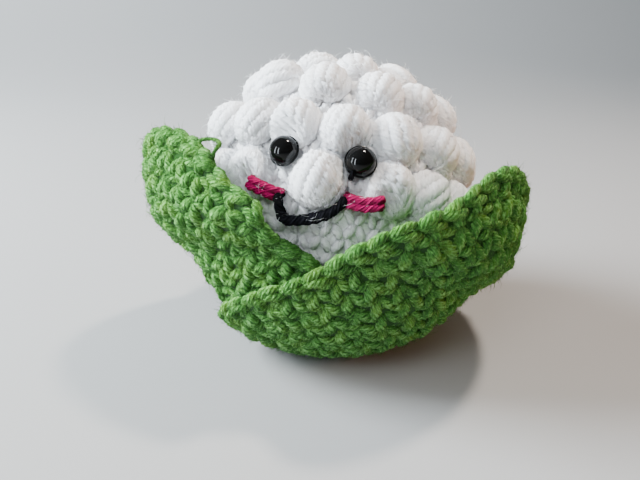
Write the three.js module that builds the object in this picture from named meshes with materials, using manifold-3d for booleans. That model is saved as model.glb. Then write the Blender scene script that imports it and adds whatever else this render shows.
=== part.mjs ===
// Crocheted cauliflower toy: a stuffed white ball covered with bobble stitches, with a face,
// held in three overlapping green crocheted leaves. Millimetres, +Z up, the face towards -Y.
// Every piece is shaped round the ball's centre. At the end the whole toy is lifted so that
// it stands on the surface with the middle of its footprint at the origin.

import * as THREE from 'three';
import { mergeVertices } from 'three/addons/utils/BufferGeometryUtils.js';
import Module from 'manifold-3d';

const wasm = await Module();
wasm.setup();

// Ball of crochet, and the bobbles that stand on it
const BALL_RADIUS = 34.5;
const SKIN_THICKNESS = 3.3;
const ROUND_HEIGHT = 4.2;
const ROUND_RELIEF = 0.5;
const BALL_SEGMENTS = 30;
const BALL_AXIS = { azimuth: 163.5, elevation: 62.5 };
const CLOSING_HOLE_RADIUS = 2.4;
const BOBBLE_TOP = 40;
const BOBBLE = { halfWidth: 6.8, halfHeight: 6.9, halfDepth: 6.6, segments: 9, rings: 6 };
const NOSE = { number: 1, plumpness: 1.07 };
// The bobbles stand further out at the left of the crown
const CROWN_BULGE = { azimuth: -95, elevation: 44, height: 3.5, spread: 24 };
const LOWEST_BOBBLE_LATITUDE = -12;

// Rounds of bobbles: latitude and longitudes on the ball, in degrees
const BOBBLE_ROUNDS = [
  { latitude: -1.5, placed: [-45, -12.5, 17.1, 36.1], evenly: { after: 36.1, before: 315, count: 12 } },
  { latitude: 21, placed: [-73, -47.5, -27.5, -5.1, 19, 43.5], evenly: { after: 43.5, before: 287, count: 10 } },
  { latitude: 45.5, placed: [-56, -22, 12.6, 41], evenly: { after: 41, before: 304, count: 8 } },
  { latitude: 69, placed: [-5], evenly: { after: -5, before: 355, count: 5 } },
  { latitude: 88.5, placed: [0], evenly: { after: 0, before: 360, count: 0 } },
];

// Filling
const FILLING_GAP = 0.5;

// Leaves: outline half sizes in degrees round the ball, stacked in layers from the ball outwards
const LEAF = {
  baseExponent: 2.1,
  tipExponent: 3.2,
  halfWidthBelow: 62,
  spine: 18,
  rounds: 7,
  segments: 38,
  thickness: 3.6,
  relief: 0.8,
  rimInset: 1.1,
  innerSteps: 8,
};
const LAYER_PITCH = 4.1;
const FIRST_LAYER_RADIUS = 34.9;
const LEAVES = [
  {
    name: 'leaf_back', layer: 0, halfLength: 64, halfWidthAbove: 48.5,
    peak: { at: 0, height: 3.3, width: 12 }, tip: { flare: 0, spread: 22 },
    centre: { azimuth: 172, elevation: -36 }, longAxis: { azimuth: -98, elevation: 8 }, colour: 0x3f9a22,
  },
  {
    name: 'leaf_left', layer: 1, halfLength: 62, halfWidthAbove: 45,
    peak: { at: 22, height: 6, width: 7 }, tip: { flare: 9, spread: 20 },
    centre: { azimuth: -49.3, elevation: -32.4 }, longAxis: { azimuth: -110.5, elevation: 37.2 }, colour: 0x4aa52a,
  },
  {
    name: 'leaf_front', layer: 2, halfLength: 66, halfWidthAbove: 44,
    peak: { at: 10, height: 8, width: 18 }, tip: { flare: 0, spread: 22 },
    centre: { azimuth: 29.7, elevation: -40.1 }, longAxis: { azimuth: 97.7, elevation: 24 }, colour: 0x43a026,
  },
];
const FLARE = { height: 5.8, from: -32, to: -14 };
const CHIN_HUG = { depth: 3, azimuth: -8, elevation: -4, spread: 22 };
const LEFT_SAG = { azimuth: -72, elevation: -40, height: 3.2, spread: 22 };

// Flattened underside, the same depth taken off every layer
const BASE_SINK = 2.5;
const BASE_RELIEF_FADE = { from: 20, to: 29 };

// Loop of loose yarn on the left leaf's upper edge, over the rim at the outline angle given
const YARN_LOOP = { radius: 0.55, span: 7, rise: 3.2, atAngle: 37 };

// Eyes: domed buttons with a rim, a shank through the fabric and a washer inside
const EYE = {
  radius: 4, rimThickness: 0.7, domeHeight: 4.1, seat: 35,
  shankRadius: 1.1, shankEnd: 26.5, clearance: 0.35,
};
const EYE_PLACES = [
  { side: 'left', longitude: -28.5, latitude: 8.5 },
  { side: 'right', longitude: 3.3, latitude: 7.6 },
];
const WASHER = { radius: 4.5, boreRadius: 1.5, thickness: 1.2, outerFace: 29.8 };

// Embroidered mouth and cheeks: longitude, latitude and radius on the ball
const MOUTH_YARN_RADIUS = 1.2;
const MOUTH_PATH = [
  [-31.6, -11.9, 33.9], [-29.8, -12.8, 36.6], [-26.2, -16.0, 36.4], [-21.6, -18.2, 36.2],
  [-15.6, -17.9, 36.2], [-8.6, -15.0, 36.3], [-3.0, -11.6, 36.6], [-1.2, -10.8, 33.9],
];
const CHEEK_YARN_RADIUS = 0.95;
const CHEEK_STRAND_OFFSET = 0.85;
const CHEEK_PATHS = {
  left: [[-44.6, -2.0, 35.4], [-42.8, -2.8, 39.6], [-36.4, -4.9, 38.2], [-30.6, -6.4, 36.7], [-29.4, -6.8, 34.4]],
  right: [[3.2, -7.2, 34.4], [4.4, -7.4, 36.8], [9.0, -8.0, 38.2], [14.4, -7.4, 39.2], [16.0, -7.0, 35.4]],
};
const YARN_CLEARANCE = 0.4;

const WHITE_YARN = { color: 0xf4f4f6, roughness: 0.95, metalness: 0 };
const FILLING_FIBRE = { color: 0xfafafa, roughness: 1, metalness: 0 };
const BLACK_GLOSS = { color: 0x060606, roughness: 0.08, metalness: 0 };
const WASHER_PLASTIC = { color: 0xe6e6e2, roughness: 0.5, metalness: 0 };
const BLACK_YARN = { color: 0x0c0c0e, roughness: 0.95, metalness: 0 };
const CHEEK_YARN = { color: 0xb8145e, roughness: 0.9, metalness: 0 };

// Directions

const radians = THREE.MathUtils.degToRad;
const smoothstep = THREE.MathUtils.smoothstep;

function direction({ azimuth, elevation }) {
  const azimuthAngle = radians(azimuth);
  const elevationAngle = radians(elevation);
  const level = Math.cos(elevationAngle);
  return new THREE.Vector3(
    level * Math.sin(azimuthAngle),
    -level * Math.cos(azimuthAngle),
    Math.sin(elevationAngle),
  );
}

const DOWN = new THREE.Vector3(0, 0, -1);
const FRONT = new THREE.Vector3(0, -1, 0);
const ballAxis = direction(BALL_AXIS);
const ballFront = FRONT.clone().addScaledVector(ballAxis, -FRONT.dot(ballAxis)).normalize();
const ballSide = new THREE.Vector3().crossVectors(ballAxis, ballFront);
const chin = direction(CHIN_HUG);
const crownBulge = direction(CROWN_BULGE);
const leftSag = direction(LEFT_SAG);

function onBall(longitude, latitude) {
  const longitudeAngle = radians(longitude);
  const latitudeAngle = radians(latitude);
  return new THREE.Vector3()
    .addScaledVector(ballFront, Math.cos(latitudeAngle) * Math.cos(longitudeAngle))
    .addScaledVector(ballSide, Math.cos(latitudeAngle) * Math.sin(longitudeAngle))
    .addScaledVector(ballAxis, Math.sin(latitudeAngle));
}

function ballPoint([longitude, latitude, radius]) {
  return onBall(longitude, latitude).multiplyScalar(radius);
}

function degreesBetween(one, other) {
  return THREE.MathUtils.radToDeg(one.angleTo(other));
}

// Solids

function toSolid(geometry) {
  const bare = geometry.clone();
  bare.deleteAttribute('normal');
  bare.deleteAttribute('uv');
  const merged = mergeVertices(bare, 1e-4);
  const corners = merged.index.array;
  const kept = [];
  for (let i = 0; i < corners.length; i += 3) {
    const [a, b, c] = [corners[i], corners[i + 1], corners[i + 2]];
    if (a !== b && b !== c && c !== a) kept.push(a, b, c);
  }
  return new wasm.Manifold(new wasm.Mesh({
    numProp: 3,
    vertProperties: new Float32Array(merged.attributes.position.array),
    triVerts: new Uint32Array(kept),
  }));
}

// A cut can leave a loose crumb, which is dropped
function largestBody(solid) {
  return solid.decompose().reduce((most, body) => (body.volume() > most.volume() ? body : most));
}

function toGeometry(solid) {
  const mesh = solid.getMesh();
  const geometry = new THREE.BufferGeometry();
  geometry.setAttribute('position', new THREE.BufferAttribute(mesh.vertProperties, 3));
  geometry.setIndex(new THREE.BufferAttribute(mesh.triVerts, 1));
  geometry.computeVertexNormals();
  return geometry;
}

// Rings of points joined into one skin: each ring is an array of points of equal length.
// The first and last rings fold shut, on one point or on a line gone over both ways.
function skinThrough(rings) {
  const count = rings[0].length;
  const positions = rings.flat().flatMap((point) => [point.x, point.y, point.z]);
  const index = [];
  for (let ring = 0; ring < rings.length - 1; ring += 1) {
    for (let i = 0; i < count; i += 1) {
      const j = (i + 1) % count;
      const [a, b] = [ring * count + i, ring * count + j];
      const [c, d] = [(ring + 1) * count + j, (ring + 1) * count + i];
      index.push(a, b, c, a, c, d);
    }
  }
  const geometry = new THREE.BufferGeometry();
  geometry.setAttribute('position', new THREE.Float32BufferAttribute(positions, 3));
  geometry.setIndex(index);
  return geometry;
}

function flattened(point, layerRadius) {
  point.z = Math.max(point.z, -(layerRadius - BASE_SINK));
  return point;
}

// Column along a direction from the centre, between two radii
function column(axis, radius, from, to, segments = 20) {
  const geometry = new THREE.CylinderGeometry(radius, radius, to - from, segments);
  geometry.translate(0, (from + to) / 2, 0);
  geometry.applyQuaternion(new THREE.Quaternion().setFromUnitVectors(new THREE.Vector3(0, 1, 0), axis));
  return toSolid(geometry);
}

function tubeThrough(points, radius, steps) {
  const section = new THREE.Shape();
  const sides = 8;
  for (let i = 0; i < sides; i += 1) {
    const angle = (2 * Math.PI * i) / sides;
    if (i === 0) section.moveTo(radius, 0);
    else section.lineTo(radius * Math.cos(angle), radius * Math.sin(angle));
  }
  const path = new THREE.CatmullRomCurve3(points);
  return toSolid(new THREE.ExtrudeGeometry(section, { steps, extrudePath: path, bevelEnabled: false }));
}

// Head: crochet ball whose lower rounds are raised as ridges, hollow, with bobbles joined on

function steps(from, to, pitch) {
  return Array.from({ length: Math.ceil((to - from) / pitch) }, (_, i) => from + i * pitch);
}

function crochetBall() {
  const roundAngle = THREE.MathUtils.radToDeg(ROUND_HEIGHT / BALL_RADIUS);
  const ridged = steps(-90, LOWEST_BOBBLE_LATITUDE, roundAngle / 2);
  const underBobbles = steps(-2, 90, 15);
  const rings = [...ridged, ...underBobbles, 90].map((latitude, index) => {
    const groove = index > 1 && index < ridged.length && index % 2 === 0;
    const radius = BALL_RADIUS - (groove ? ROUND_RELIEF : 0);
    return steps(0, 360, 360 / BALL_SEGMENTS).map(
      (longitude) => flattened(ballPoint([longitude, latitude, radius]), BALL_RADIUS),
    );
  });
  return toSolid(skinThrough(rings));
}

function roundedFilling(radius, segments, rings, layerRadius) {
  const geometry = new THREE.SphereGeometry(radius, segments, rings);
  geometry.rotateX(Math.PI / 2);
  const position = geometry.attributes.position;
  const point = new THREE.Vector3();
  for (let i = 0; i < position.count; i += 1) {
    point.fromBufferAttribute(position, i);
    flattened(point, layerRadius);
    position.setXYZ(i, point.x, point.y, point.z);
  }
  return toSolid(geometry);
}

function bobbleDirections() {
  const found = [];
  for (const { latitude, placed, evenly } of BOBBLE_ROUNDS) {
    const longitudes = [...placed];
    for (let i = 1; i <= evenly.count; i += 1) {
      longitudes.push(evenly.after + ((evenly.before - evenly.after) * i) / (evenly.count + 1));
    }
    longitudes.forEach((longitude) => found.push({ longitude, latitude }));
  }
  return found;
}

// A bobble is an oval lump. Its size varies a little from stitch to stitch, by a sine of its number,
// and the one that is the nose is larger.
function bobbleSolid({ longitude, latitude }, number) {
  const outward = onBall(longitude, latitude);
  const east = new THREE.Vector3().crossVectors(ballAxis, outward).normalize();
  const north = new THREE.Vector3().crossVectors(outward, east);
  const plumpness = number === NOSE.number ? NOSE.plumpness : 1 + 0.035 * Math.sin(12.9 * number);
  const depth = BOBBLE.halfDepth * plumpness;
  const geometry = new THREE.SphereGeometry(1, BOBBLE.segments, BOBBLE.rings);
  geometry.rotateX(Math.PI / 2);
  geometry.applyMatrix4(new THREE.Matrix4().makeBasis(
    east.multiplyScalar(BOBBLE.halfWidth * plumpness),
    north.multiplyScalar(BOBBLE.halfHeight * plumpness),
    outward.clone().multiplyScalar(depth),
  ));
  const fromBulge = degreesBetween(outward, crownBulge) / CROWN_BULGE.spread;
  const bulge = CROWN_BULGE.height * Math.exp(-fromBulge * fromBulge / 2);
  const centre = outward.multiplyScalar(BOBBLE_TOP - BOBBLE.halfDepth + bulge);
  geometry.translate(centre.x, centre.y, centre.z);
  return toSolid(geometry);
}

function mouthTube(clearance) {
  return tubeThrough(MOUTH_PATH.map(ballPoint), MOUTH_YARN_RADIUS + clearance, 18);
}

// A cheek is two strands side by side, worked as one stitch
function cheekTubes(side, clearance) {
  const points = CHEEK_PATHS[side].map(ballPoint);
  const along = points[points.length - 1].clone().sub(points[0]).normalize();
  const strands = [-1, 1].map((sign) => {
    const shifted = points.map((point) => {
      const across = new THREE.Vector3().crossVectors(point, along).normalize();
      return point.clone().addScaledVector(across, sign * CHEEK_STRAND_OFFSET);
    });
    return tubeThrough(shifted, CHEEK_YARN_RADIUS + clearance, 9);
  });
  return strands[0].add(strands[1]);
}

function headSkin() {
  const innerRadius = BALL_RADIUS - SKIN_THICKNESS;
  let solid = crochetBall();
  bobbleDirections().forEach((place, number) => {
    solid = solid.add(bobbleSolid(place, number));
  });
  solid = solid.subtract(roundedFilling(innerRadius, 18, 12, innerRadius));
  solid = solid.subtract(column(ballAxis.clone().negate(), CLOSING_HOLE_RADIUS, innerRadius - 3, BALL_RADIUS + 2, 16));
  for (const place of EYE_PLACES) {
    const axis = onBall(place.longitude, place.latitude);
    solid = solid.subtract(column(axis, EYE.radius + EYE.clearance, EYE.seat - EYE.clearance, BOBBLE_TOP + 3, 24));
    solid = solid.subtract(column(axis, EYE.shankRadius + EYE.clearance, innerRadius - 2, EYE.seat + 1, 12));
  }
  solid = solid.subtract(mouthTube(YARN_CLEARANCE));
  solid = solid.subtract(cheekTubes('left', YARN_CLEARANCE));
  solid = solid.subtract(cheekTubes('right', YARN_CLEARANCE));
  return largestBody(solid);
}

function filling() {
  const radius = BALL_RADIUS - SKIN_THICKNESS - FILLING_GAP;
  let solid = roundedFilling(radius, 18, 12, radius);
  for (const place of EYE_PLACES) {
    const axis = onBall(place.longitude, place.latitude);
    const hollowFloor = WASHER.outerFace - WASHER.thickness - 0.5;
    solid = solid.subtract(column(axis, WASHER.radius + 0.5, hollowFloor, radius + 2, 20));
    solid = solid.subtract(column(axis, EYE.shankRadius + EYE.clearance, EYE.shankEnd - 0.5, radius, 12));
  }
  return solid;
}

// Eye: dome over a thin rim, with its shank, turned about its own axis
function eyeSolid(place) {
  const { radius, rimThickness, domeHeight, seat, shankRadius, shankEnd } = EYE;
  const profile = [new THREE.Vector2(0, shankEnd), new THREE.Vector2(shankRadius, shankEnd)];
  profile.push(new THREE.Vector2(shankRadius, seat), new THREE.Vector2(radius, seat));
  const domeSteps = 5;
  for (let i = 0; i <= domeSteps; i += 1) {
    const angle = (Math.PI / 2) * (i / domeSteps);
    const height = seat + rimThickness + (domeHeight - rimThickness) * Math.sin(angle);
    profile.push(new THREE.Vector2(i === domeSteps ? 0 : radius * Math.cos(angle), height));
  }
  const geometry = new THREE.LatheGeometry(profile, 18);
  geometry.applyQuaternion(
    new THREE.Quaternion().setFromUnitVectors(new THREE.Vector3(0, 1, 0), onBall(place.longitude, place.latitude)),
  );
  return toSolid(geometry);
}

function washerSolid(place) {
  const axis = onBall(place.longitude, place.latitude);
  const { radius, boreRadius, thickness, outerFace } = WASHER;
  return column(axis, radius, outerFace - thickness, outerFace, 20)
    .subtract(column(axis, boreRadius, outerFace - thickness - 1, outerFace + 1, 12));
}

// Leaves

function leafAxes({ centre, longAxis }) {
  const middle = direction(centre);
  const wanted = direction(longAxis);
  const along = wanted.addScaledVector(middle, -wanted.dot(middle)).normalize();
  const across = new THREE.Vector3().crossVectors(middle, along);
  if (across.z < 0) across.negate();
  return { middle, along, across };
}

// Outline of a leaf as a superellipse, fuller at the tip end, with one low peak on its upper rim.
// The angle runs round the leaf from the tip. The result is a pair of angles on the ball, in degrees.
function leafOutline(leaf, angle) {
  const [cosine, sine] = [Math.cos(angle), Math.sin(angle)];
  const tipShare = smoothstep(cosine, -0.5, 0.5);
  const exponent = THREE.MathUtils.lerp(LEAF.baseExponent, LEAF.tipExponent, tipShare);
  const halfWidth = sine >= 0 ? leaf.halfWidthAbove : LEAF.halfWidthBelow;
  const reach = (Math.abs(cosine / leaf.halfLength) ** exponent + Math.abs(sine / halfWidth) ** exponent)
    ** (-1 / exponent);
  const [length, width] = [reach * cosine, reach * sine];
  const fromPeak = (length - leaf.peak.at) / leaf.peak.width;
  const peak = sine > 0 ? leaf.peak.height * sine * Math.exp(-fromPeak * fromPeak / 2) : 0;
  return [length, width + peak];
}

// Share of the way from the leaf's spine to its rim, as a direction from the ball's centre
function leafDirection(leaf, axes, angle, share) {
  const [length, width] = leafOutline(leaf, angle);
  const p = radians(LEAF.spine * Math.cos(angle) * (1 - share) + length * share);
  const q = radians(width * share);
  return new THREE.Vector3()
    .addScaledVector(axes.middle, Math.cos(q) * Math.cos(p))
    .addScaledVector(axes.along, Math.cos(q) * Math.sin(p))
    .addScaledVector(axes.across, Math.sin(q));
}

// How far the leaf stands off its layer's radius: out over the bobbles, in at the chin, out at the
// tip, and out where the two outer leaves sag at the lower left
function leafStandOff(leaf, axes, outward) {
  const latitude = THREE.MathUtils.radToDeg(Math.asin(outward.dot(ballAxis)));
  const overBobbles = FLARE.height * smoothstep(latitude, FLARE.from, FLARE.to);
  const fromChin = degreesBetween(outward, chin) / CHIN_HUG.spread;
  const atChin = leaf.layer > 0 ? CHIN_HUG.depth * Math.exp(-fromChin * fromChin / 2) : 0;
  const fromSag = degreesBetween(outward, leftSag) / LEFT_SAG.spread;
  const atSag = leaf.layer > 0 ? LEFT_SAG.height * Math.exp(-fromSag * fromSag / 2) : 0;
  const tipAngle = radians(leaf.halfLength);
  const tip = axes.middle.clone().multiplyScalar(Math.cos(tipAngle))
    .addScaledVector(axes.along, Math.sin(tipAngle));
  const fromTip = degreesBetween(outward, tip) / leaf.tip.spread;
  return overBobbles - atChin + atSag + leaf.tip.flare * Math.exp(-fromTip * fromTip / 2);
}

function leafPoint(leaf, axes, angle, share, depth) {
  const outward = leafDirection(leaf, axes, angle, share);
  const layerRadius = FIRST_LAYER_RADIUS + LAYER_PITCH * leaf.layer;
  const radius = layerRadius + depth + leafStandOff(leaf, axes, outward);
  return flattened(outward.multiplyScalar(radius), layerRadius + (depth > LEAF.thickness / 2 ? LEAF.thickness : 0));
}

// A leaf is worked in rounds about its spine. On the outer face each round is a ridge with a
// groove before the next, and the last round is the rounded rim.
function leafSolid(leaf) {
  const axes = leafAxes(leaf);
  const angles = Array.from({ length: LEAF.segments }, (_, i) => (2 * Math.PI * i) / LEAF.segments);
  const ring = (share, depthAt) => angles.map((angle) => {
    const outward = leafDirection(leaf, axes, angle, share);
    const relief = smoothstep(degreesBetween(outward, DOWN), BASE_RELIEF_FADE.from, BASE_RELIEF_FADE.to);
    return leafPoint(leaf, axes, angle, share, depthAt(relief));
  });
  const rings = [];
  const outerSteps = 2 * LEAF.rounds;
  for (let step = 0; step < outerSteps; step += 1) {
    const groove = step % 2 === 0 ? LEAF.relief : 0;
    rings.push(ring(step / outerSteps, (relief) => LEAF.thickness - groove * relief));
  }
  rings.push(ring(1, () => LEAF.thickness - LEAF.rimInset));
  rings.push(ring(1, () => LEAF.rimInset));
  for (let share = 1 - 1 / LEAF.innerSteps; share > 0.01; share -= 1 / LEAF.innerSteps) rings.push(ring(share, () => 0));
  rings.push(ring(0, () => 0));
  const solid = toSolid(outwardFacing(skinThrough(rings)));
  return leaf.name === 'leaf_left' ? solid.add(yarnLoop(leaf, axes)) : solid;
}

function outwardFacing(geometry) {
  const position = geometry.attributes.position;
  const index = geometry.index.array;
  const [a, b, c] = [new THREE.Vector3(), new THREE.Vector3(), new THREE.Vector3()];
  let volume = 0;
  for (let i = 0; i < index.length; i += 3) {
    a.fromBufferAttribute(position, index[i]);
    b.fromBufferAttribute(position, index[i + 1]);
    c.fromBufferAttribute(position, index[i + 2]);
    volume += a.dot(b.cross(c));
  }
  if (volume < 0) index.reverse();
  return geometry;
}

// Loose strand that leaves the rim, arches over it and goes back in
function yarnLoop(leaf, axes) {
  const { radius, span, rise, atAngle } = YARN_LOOP;
  const points = [-1, -0.7, 0, 0.7, 1].map((along) => {
    const share = 0.99 + (rise / 50) * (1 - along * along);
    return leafPoint(leaf, axes, radians(atAngle + span * along), share, LEAF.thickness * 0.45);
  });
  points[0].multiplyScalar(0.995);
  points[4].multiplyScalar(0.995);
  return tubeThrough(points, radius, 10);
}

// The toy

const toy = new THREE.Group();

function addPiece(name, solid, finish) {
  const mesh = new THREE.Mesh(toGeometry(solid), new THREE.MeshStandardMaterial(finish));
  mesh.name = name;
  toy.add(mesh);
}

addPiece('head_skin', headSkin(), WHITE_YARN);
addPiece('stuffing', filling(), FILLING_FIBRE);
for (const place of EYE_PLACES) {
  addPiece(`eye_${place.side}`, eyeSolid(place), BLACK_GLOSS);
  addPiece(`eye_washer_${place.side}`, washerSolid(place), WASHER_PLASTIC);
}
addPiece('mouth', mouthTube(0), BLACK_YARN);
addPiece('cheek_left', cheekTubes('left', 0), CHEEK_YARN);
addPiece('cheek_right', cheekTubes('right', 0), CHEEK_YARN);
for (const leaf of LEAVES) {
  addPiece(leaf.name, leafSolid(leaf), { color: leaf.colour, roughness: 0.95, metalness: 0 });
}

// Stand the toy on the surface, over the middle of its footprint
const extent = new THREE.Box3().setFromObject(toy);
toy.position.set(
  -(extent.min.x + extent.max.x) / 2,
  -(extent.min.y + extent.max.y) / 2,
  -extent.min.z,
);
toy.updateMatrixWorld(true);

export default toy;
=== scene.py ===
"""Looks of a crocheted cauliflower toy: yarn, stitches, bobbles, leaves, eyes, mouth and cheeks.

Shapes are worked out in millimetres from the middle of the stuffed ball, and turned into metres
in the row's frame when their mesh is made.
"""
import math

import bmesh
import bpy
import numpy as np
from mathutils import Matrix, Vector


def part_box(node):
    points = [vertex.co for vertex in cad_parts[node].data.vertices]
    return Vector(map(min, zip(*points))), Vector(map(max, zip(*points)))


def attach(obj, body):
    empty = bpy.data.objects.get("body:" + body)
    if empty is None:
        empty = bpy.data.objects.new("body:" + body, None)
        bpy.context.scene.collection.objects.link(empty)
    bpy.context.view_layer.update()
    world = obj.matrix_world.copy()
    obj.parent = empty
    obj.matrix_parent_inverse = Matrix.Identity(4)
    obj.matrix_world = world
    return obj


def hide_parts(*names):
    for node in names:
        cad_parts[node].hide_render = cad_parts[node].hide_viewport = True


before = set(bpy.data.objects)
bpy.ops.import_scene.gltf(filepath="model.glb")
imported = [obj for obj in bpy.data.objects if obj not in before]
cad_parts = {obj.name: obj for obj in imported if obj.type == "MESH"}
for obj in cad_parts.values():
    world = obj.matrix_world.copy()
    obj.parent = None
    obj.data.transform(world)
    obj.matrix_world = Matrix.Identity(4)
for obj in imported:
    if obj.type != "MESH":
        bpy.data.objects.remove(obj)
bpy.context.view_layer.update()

# Sizes in millimetres and angles in degrees

FILLING_RADIUS = 30.7
BALL_RADIUS = 34.5
BALL_AXIS = (163.5, 62.5)
BASE_SINK = 2.5
INNER_BALL_DEPTH, INNER_BALL_ROWS, INNER_BALL_COLUMNS = 1.3, 48, 72

YARN_RADIUS = 1.45
PLY_DEPTH, PLY_TURNS = 0.15, 0.12
YARN_ROUGHNESS = 0.85

BOBBLE_TOP = 40.0
BOBBLE_HALF_LENGTH, BOBBLE_HALF_WIDTH = 5.3, 4.6
BOBBLE_STRANDS, BOBBLE_STEPS = 7, 12
BOBBLE_STRAND_RADIUS, BOBBLE_STRAND_REACH = 2.5, 2.4
BOBBLE_FAN = 1.4

PLAIN_STITCH_WIDTH, PLAIN_STITCH_RADIUS = 5.9, 1.4
PLAIN_STITCH_DEPTH, PLAIN_STITCH_RISE = 2.3, 1.25
PLAIN_STITCH_STEPS, PLAIN_STITCH_SIDES = 7, 7
PLAIN_STITCH_CLEARANCE = 5.5
FIRST_ROUND, LAST_ROUND, ROUND_ZERO_LATITUDE = -7, 12, -1.0

LEAF_BASE_EXPONENT = 2.1
LEAF_TIP_EXPONENT = 3.2
LEAF_HALF_WIDTH_BELOW = 62.0
LEAF_SPINE = 18.0
LEAF_ROUNDS = 7
LEAF_THICKNESS = 3.6
LEAF_SHARE_LIMIT = 0.985
STITCH_SHIFT = 0.37
CLOTH_OUTER, CLOTH_INNER, CLOTH_RIM = 1.9, 1.1, 0.97
LAYER_PITCH = 4.1
FIRST_LAYER_RADIUS = 34.9
STITCH_WIDTH = 6.2
FLARE_HEIGHT, FLARE_FROM, FLARE_TO = 5.8, -32.0, -14.0
CHIN_DEPTH, CHIN_PLACE, CHIN_SPREAD = 3.0, (-8.0, -4.0), 22.0
SAG_HEIGHT, SAG_PLACE, SAG_SPREAD = 3.2, (-72.0, -40.0), 22.0
CROWN_HEIGHT, CROWN_PLACE, CROWN_SPREAD = 3.5, (-95.0, 44.0), 24.0

# Peak: where along the leaf, its height and its width. Tip: how far it flares, and how wide that is.
LEAVES = [
    {"name": "leaf_back", "layer": 0, "half_length": 64, "half_width_above": 48.5, "peak": (0, 3.3, 12),
     "tip": (0, 22), "centre": (172, -36), "long_axis": (-98, 8)},
    {"name": "leaf_left", "layer": 1, "half_length": 62, "half_width_above": 45, "peak": (22, 6, 7),
     "tip": (9, 20), "centre": (-49.3, -32.4), "long_axis": (-110.5, 37.2)},
    {"name": "leaf_front", "layer": 2, "half_length": 66, "half_width_above": 44, "peak": (10, 8, 18),
     "tip": (0, 22), "centre": (29.7, -40.1), "long_axis": (97.7, 24)},
]

# Rounds of bobbles: latitude, longitudes listed one by one, then the even run (after, before, how many)
BOBBLE_ROUNDS = [
    (-1.5, [-45, -12.5, 17.1, 36.1], (36.1, 315, 12)),
    (21.0, [-73, -47.5, -27.5, -5.1, 19, 43.5], (43.5, 287, 10)),
    (45.5, [-56, -22, 12.6, 41], (41, 304, 8)),
    (69.0, [-5], (-5, 355, 5)),
    (88.5, [0], (0, 360, 0)),
]
NOSE_NUMBER, NOSE_PLUMPNESS = 1, 1.08
ROUND_STEP = 6.83

EYE_PLACES = {"left": (-28.5, 8.5), "right": (3.3, 7.6)}
EYE_RADIUS, EYE_RIM, EYE_DOME, EYE_SEAT = 4.0, 0.55, 4.1, 35.0
EYE_SHANK_RADIUS, EYE_SHANK_END = 1.1, 26.5
EYE_SIDES = 48

# Room pressed into the white yarn: how far it reaches, and its slope
EYE_ROOM, EYE_ROOM_SLOPE = 10.5, 0.8
SEWN_ROOM, SEWN_ROOM_SLOPE = 17, 0.85

# Sewn yarn: longitude, latitude and distance from the ball's middle
SEWN_ABOVE, SEWN_RADIUS = 36.4, 37
MOUTH_YARN_RADIUS, BLACK_END_RADIUS = 1.3, 0.75
MOUTH_PATH = [
    (-28.2, -8.4, 33.9), (-27.6, -9.8, 36.5), (-26.6, -12.8, 36.8), (-25.4, -16.1, 36.8),
    (-22.8, -18.3, 36.7), (-17.6, -18.0, 36.5), (-12.1, -16.7, 36.4), (-6.2, -14.1, 36.5),
    (-2.5, -10.5, 36.7), (-1.1, -8.5, 36.4), (-0.6, -7.8, 34.2),
]
CHEEK_YARN_RADIUS, CHEEK_STRAND_OFFSET, CHEEK_ROOM = 1.1, 0.85, 1.7
CHEEK_PATHS = {
    "left": [
        (-39.8, -4.6, 35.4), (-37.8, -5.4, 38.9), (-32.5, -7.4, 38.2), (-28.6, -8.8, 36.9),
        (-27.8, -9.2, 34.6),
    ],
    "right": [
        (-0.2, -7.8, 34.4), (1.2, -8.3, 36.8), (6.4, -8.6, 38.2), (11.6, -7.3, 39.2),
        (13.1, -7.1, 35.4),
    ],
}
BLACK_END_PATH = [(1.4, 4.1, 34.6), (0.7, 2.3, 36.6), (0.4, 1.3, 36.8), (0.4, 0.6, 35.0)]

# Loose loop of the left leaf: the outline's angle in degrees, and the share from the spine to the rim
YARN_LOOP_RADIUS = 0.55
YARN_LOOP_PATH = [
    (31.0, 0.96), (32.7, 1.04), (35.3, 1.09), (38.3, 1.10), (39.3, 1.055), (40.3, 0.99), (41.7, 0.95),
]

# Loose fibres: long ones, short down, and lint of the white yarn on the face
LONG_FIBRE = {"joints": 2, "length": (1.4, 3.8), "lift": (0.15, 0.8), "thickness": 0.05}
DOWN = {"joints": 1, "length": (0.7, 1.9), "lift": (0.4, 1.5), "thickness": 0.08}
LINT = {"joints": 2, "length": (1.5, 3.5), "lift": (0.3, 0.9), "thickness": 0.035}
HEAD_FIBRES, HEAD_DOWN = 9000, 32000
LEAF_FIBRES, LEAF_DOWN = 5000, 18000
FACE_LINT = 80

# Where the camera stood: distance and height from the ball's middle, and where that shows in the picture
PICTURE_WIDTH, PICTURE_HEIGHT = 640, 480
CAMERA_DISTANCE = 200.0
CAMERA_ELEVATION = 20.0
FOCAL_PIXELS = 685.86
BALL_PIXEL = (340, 195)
SENSOR_WIDTH = 36.0

# Paper sweep and light, in metres
STAGE_HALF_WIDTH, STAGE_NEAR, STAGE_FAR, STAGE_RISE, STAGE_BEND = 4.0, -4.0, 0.35, 1.4, 0.8
DAYLIGHT = (0.84, 0.93, 1.0)
PALE_DAYLIGHT = (0.90, 0.96, 1.0)
LAMPLIGHT = (1.0, 0.89, 0.78)
GLOW = (1.0, 0.55, 0.33)
ROOM_COLOUR, ROOM_STRENGTH = (1.0, 0.94, 0.88, 1.0), 0.04


# Directions from the ball's middle

def unit(vectors):
    return vectors / np.linalg.norm(vectors, axis=-1, keepdims=True)


def direction(azimuth, elevation):
    a, e = math.radians(azimuth), math.radians(elevation)
    return np.array([math.cos(e) * math.sin(a), -math.cos(e) * math.cos(a), math.sin(e)])


def smoothstep(x, low, high):
    t = np.clip((x - low) / (high - low), 0.0, 1.0)
    return t * t * (3.0 - 2.0 * t)


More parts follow.
